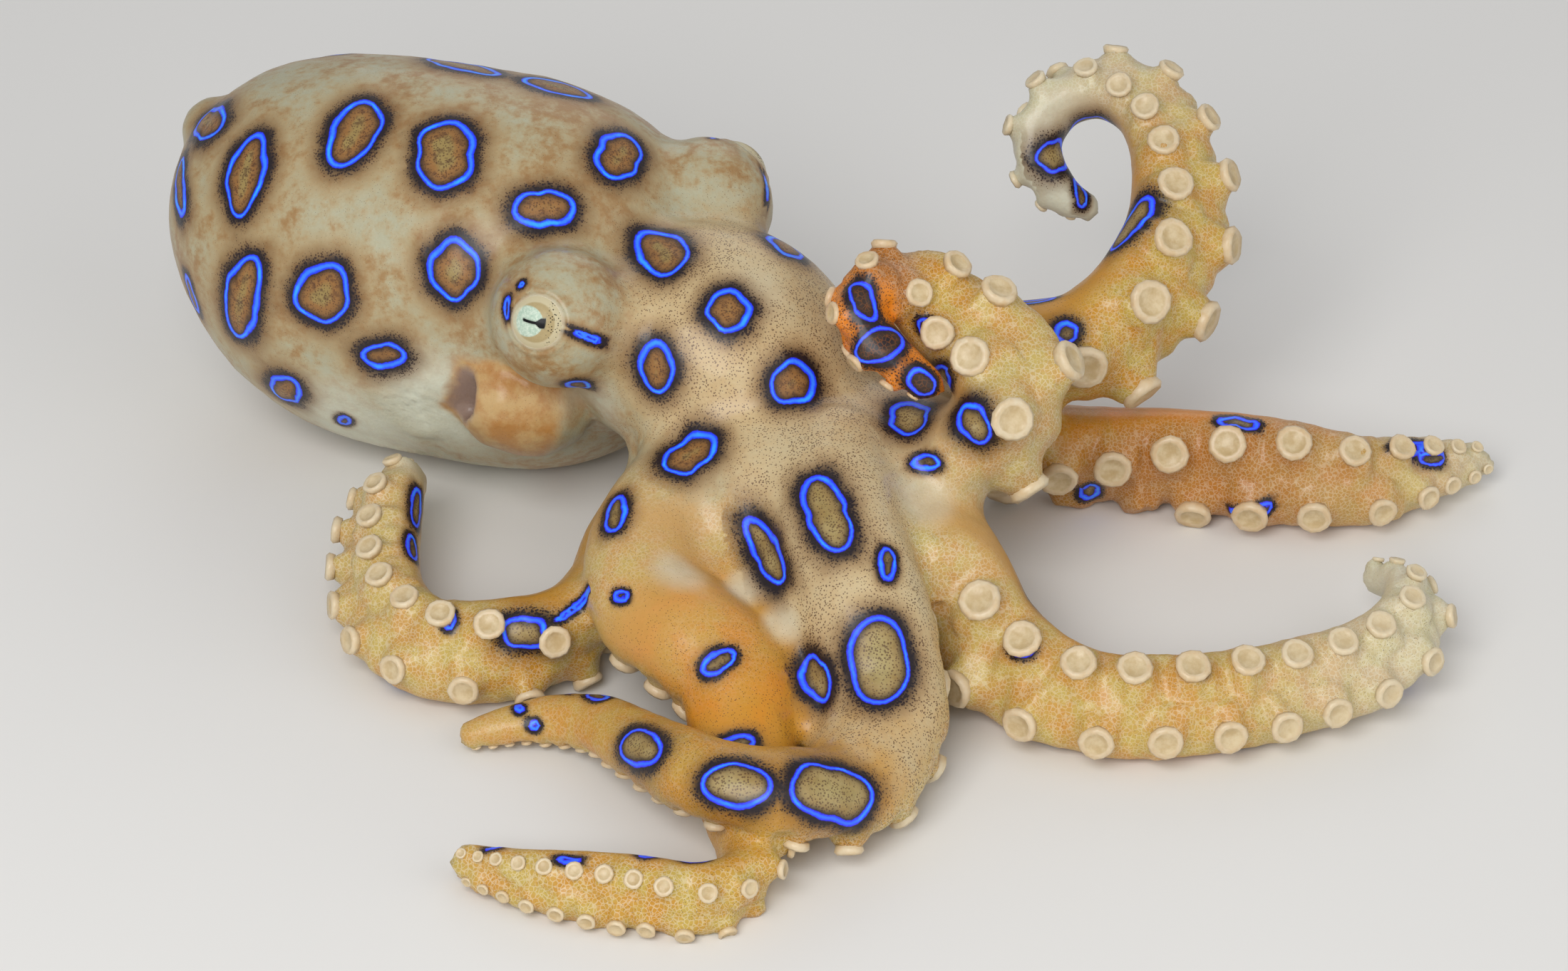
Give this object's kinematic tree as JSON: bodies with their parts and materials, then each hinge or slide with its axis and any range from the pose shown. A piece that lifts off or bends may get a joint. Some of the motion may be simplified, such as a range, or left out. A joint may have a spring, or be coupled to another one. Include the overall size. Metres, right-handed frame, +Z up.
{
  "type": "octopus model",
  "caption": "Life-size still model of a blue-ringed octopus resting on the floor, with a full bag-like mantle, curled arms and blue rings on tan skin.",
  "frame": {"origin": "middle of the bottom of the whole box, on the floor under the octopus", "axes": "+Z up, +X along the longest side towards the arm that reaches out to the right, -Y towards the front arms"},
  "size_m": [0.1, 0.0828, 0.0293],
  "materials": {
    "body_skin": "satin, moist",
    "arm_skin": "satin, moist",
    "eye": "glossy, wet"
  },
  "bodies": {
    "root": {"mantle": "body_skin", "head": "body_skin", "crown": "body_skin", "funnel": "body_skin", "eye_right": "eye", "eye_left": "eye", "arm_r1_root": "arm_skin", "arm_r1_middle": "arm_skin", "arm_r1_outer": "arm_skin", "arm_r1_tip": "arm_skin", "arm_r2_root": "arm_skin", "arm_r2_middle": "arm_skin", "arm_r2_outer": "arm_skin", "arm_r2_tip": "arm_skin", "arm_r3_root": "arm_skin", "arm_r3_middle": "arm_skin", "arm_r3_outer": "arm_skin", "arm_r3_tip": "arm_skin", "arm_r4_root": "arm_skin", "arm_r4_middle": "arm_skin", "arm_r4_outer": "arm_skin", "arm_r4_tip": "arm_skin", "arm_l1_root": "arm_skin", "arm_l1_middle": "arm_skin", "arm_l1_outer": "arm_skin", "arm_l1_tip": "arm_skin", "arm_l2_root": "arm_skin", "arm_l2_middle": "arm_skin", "arm_l2_tip": "arm_skin", "arm_l3_root": "arm_skin", "arm_l3_middle": "arm_skin", "arm_l3_outer": "arm_skin", "arm_l3_tip": "arm_skin", "arm_l4_root": "arm_skin", "arm_l4_middle": "arm_skin", "arm_l4_outer": "arm_skin", "arm_l4_tip": "arm_skin", "web": "arm_skin"}
  },
  "joints": []
}
